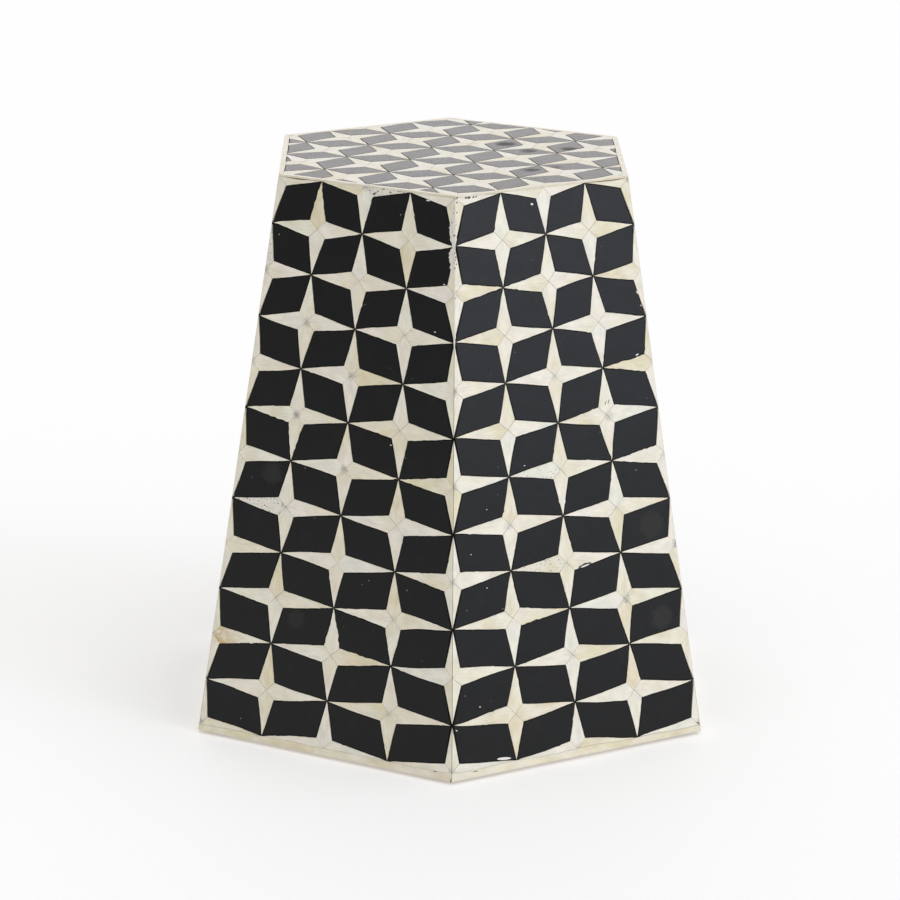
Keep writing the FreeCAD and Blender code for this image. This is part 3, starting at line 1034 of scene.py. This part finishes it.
def softened(node, width):
    """Rounds the edges of a carried-over CAD node a little."""
    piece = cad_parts[node]
    piece.modifiers.new("joined", "WELD").merge_threshold = WELD_REACH
    bevel = piece.modifiers.new("eased", "BEVEL")
    bevel.width = width
    bevel.segments = EASED_SEGMENTS


# Dressing


def looks_of(panel, node, slot, chance):
    """Draws each piece's own values, with those that the photograph shows to be special."""
    middles = [middle_of(loop) for loop in outlines(node, panel)]
    far = chance.uniform(0.0, NOISE_FAR)

    def picked(table):
        """Spot and strength of each piece that lies at a place in a table, by the piece's middle."""
        found = {}
        for *pixel, strength in table.get(panel.name, ()):
            spot = panel.seen_at(pixel)
            nearest = min(middles, key=lambda m: math.dist(m, spot))
            if math.dist(nearest, spot) < PICK_REACH:
                found[nearest] = (spot, strength)
        return found

    porous = picked(POROUS_KITES)
    smudged = picked(SMUDGED_TILES)
    stained = picked(STAINED_KITES)

    def draw(loop):
        """Values of one piece. Those of no use to its slot are drawn too."""
        middle = middle_of(loop)
        heart = heart_of(loop)
        rough = chance.random()
        aside = Vector(middle) + Vector([chance.uniform(-reach, reach) for reach in SMUDGE_ASIDE])
        rare = [max(0.0, rough - start) * gain for start, gain in (RARE_POROUS, RARE_SMUDGE)]
        spot, smudge = smudged.get(middle, (aside, rare[1]))
        return {
            "seed": chance.random(),
            "tone": chance.betavariate(*TONE_SPREAD) * (BORDER_TONE if "border" in node else 1.0),
            "porous": porous.get(middle, (middle, rare[0]))[1],
            "stain": stained.get(middle, (middle, 0.0)),
            "smudge": smudge,
            "spot": heart if slot == "bone" else spot,
            "grime": min(1.0, GRIME_GAIN * max(0.0, noise_at(heart, GRIME_LENGTH, far).x)),
            "growth": chance.uniform(*GROWTH),
            "raw": STRIP_RAW if "strip" in node else 1.0,
            "proud": chance.uniform(-PROUD_REACH, PROUD_REACH),
            "tilt": Vector([chance.uniform(-TILT_REACH, TILT_REACH) for _ in range(2)]),
        }

    return draw


def dress_inlay():
    """Rebuilds the inlay of the six sides and the top, with its damage."""
    finishes = {"bone": bone(), "black_resin": black_resin()}
    rings = {"bone": BONE_RINGS, "black_resin": RESIN_RINGS}
    panels = {}
    for side in SIDES:
        out, point = outward("black_tiles_" + side)
        names = {"bone_stars_": "bone", "black_tiles_": "black_resin", "base_strip_": "bone"}
        nodes = {prefix + side: slot for prefix, slot in names.items()}
        panels[side] = (Panel(side, out, UP, point, True), nodes)
    first_out = panels[SIDES[0]][0].out
    top_up = Vector((-first_out.x, -first_out.y, 0.0))
    top_nodes = {"top_bone_stars": "bone", "top_black_tiles": "black_resin", "top_border_strips": "bone"}
    panels["top"] = (Panel("top", UP, top_up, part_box("top_bone_stars")[1], False), top_nodes)
    for number, (panel, nodes) in enumerate(panels.values()):
        rim = rim_of([loop for node in nodes for loop in outlines(node, panel)])
        for node, slot in nodes.items():
            looks = looks_of(panel, node, slot, random.Random(node))
            inlay(node, panel, rim, number * NOISE_FAR, rings[slot], looks, finishes[slot])
    corner_filler(panels["front_left"][0], panels["front_right"][0], filler())
    faces = {name: panel for name, (panel, _) in panels.items()}
    flecks("chips", CHIPS, CHIP_HEIGHTS, faces, fleck("chip_white", CHIP_WHITE, FILLER_PALE))
    flecks("pits", PITS, PIT_HEIGHTS, faces, fleck("pit_dark", PIT_BROWN, JOINT_BLACK))


def dress_carcass():
    """Gives the carcass behind the inlay its finishes."""
    for side in SIDES:
        out = outward("side_board_" + side)[0]
        wear("side_board_" + side, board("board_" + side, out))
        level = Vector((-out.y, out.x, 0.0)).normalized()
        pine = softwood("softwood_" + side, level)
        wear("base_rail_" + side, pine)
        wear("top_cleat_" + side, pine)
    upright = softwood("softwood_upright", UP)
    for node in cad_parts:
        if node.startswith("corner_post_"):
            wear(node, upright)
    wear("top_board", board("board_top", UP))
    wear("top_nails", nail_steel())
    wear("foot_pads", rubber())
    softened("foot_pads", PAD_EDGE)
    softened("top_nails", NAIL_EDGE)


# Studio


class Screen(NamedTuple):
    """A bright part of the surround: its direction, its light at the middle, and how narrow it is."""

    towards: tuple
    light: tuple
    narrow: float


FLOOR_RADIUS = 8.0
FLOOR_SIDES = 96
FLOOR_COLOUR = (0.82, 0.82, 0.82, 1.0)
FLOOR_ROUGHNESS = 0.9
WHITE = (1.0, 1.0, 1.0, 1.0)
FLOOR_GLOW = 0.325
EVEN_LIGHT = (0.31, 0.31, 0.31)
RIGHT_SCREEN = Screen((0.85, -0.50, 0.22), (3.15, 3.40, 3.92), 26.0)
LEFT_SCREEN = Screen((-0.85, -0.50, 0.22), (0.24, 0.24, 0.25), 12.0)
BACK_SCREEN = Screen((0.0, 0.95, 0.30), (1.08, 1.05, 1.06), 5.0)
HIGH_SCREEN = Screen((0.20, -0.40, 0.90), (0.94, 0.93, 0.91), 3.0)


def floor():
    """Pale round floor that glows a little, and can be looked through from below."""
    turns = [2.0 * math.pi * i / FLOOR_SIDES for i in range(FLOOR_SIDES)]
    rim = [(FLOOR_RADIUS * math.cos(a), FLOOR_RADIUS * math.sin(a), 0.0) for a in turns]
    mesh = bpy.data.meshes.new("floor")
    mesh.from_pydata(rim, [], [tuple(range(FLOOR_SIDES))])
    paint = Paint("floor")
    paint.fixed(Base_Color=FLOOR_COLOUR, Roughness=FLOOR_ROUGHNESS, Specular_IOR_Level=0.0)
    paint.fixed(Emission_Color=WHITE, Emission_Strength=FLOOR_GLOW)
    below = paint.add("NewGeometry", {}).outputs["Backfacing"]
    clear = paint.add("BsdfTransparent", {}).outputs[0]
    seen = paint.add("MixShader", {0: below, 1: paint.shader.outputs[0], 2: clear})
    paint.tree.links.new(seen.outputs[0], paint.tree.nodes["Material Output"].inputs["Surface"])
    mesh.materials.append(paint.material)
    stage = bpy.data.objects.new("floor", mesh)
    bpy.context.scene.collection.objects.link(stage)


def surround():
    """Soft studio surround: an even light, with wide bright screens."""
    world = bpy.data.worlds.new("studio")
    sky = Nodes(world, "Background")
    direction = sky.add("TexCoord", {}).outputs["Generated"]
    total = EVEN_LIGHT
    for screen in (RIGHT_SCREEN, LEFT_SCREEN, BACK_SCREEN, HIGH_SCREEN):
        facing = sky.math("MAXIMUM", sky.dot(direction, Vector(screen.towards).normalized()), 0.0)
        share = sky.math("POWER", facing, screen.narrow)
        inputs = {0: share, 1: screen.light, 2: total}
        total = sky.add("VectorMath", inputs, operation="MULTIPLY_ADD").outputs[0]
    sky.driven("Color", total)
    bpy.context.scene.world = world


def camera():
    data = bpy.data.cameras.new("camera")
    data.lens = CAMERA_LENS
    data.sensor_width = SENSOR_WIDTH
    place = bpy.data.objects.new("camera", data)
    place.matrix_world = Matrix.Translation(CAMERA_PLACE) @ camera_turn().to_4x4()
    bpy.context.scene.collection.objects.link(place)
    bpy.context.scene.camera = place


noise.seed_set(NOISE_SEED)
dress_inlay()
dress_carcass()
floor()
surround()
camera()
bpy.context.scene.view_settings.view_transform = "Standard"
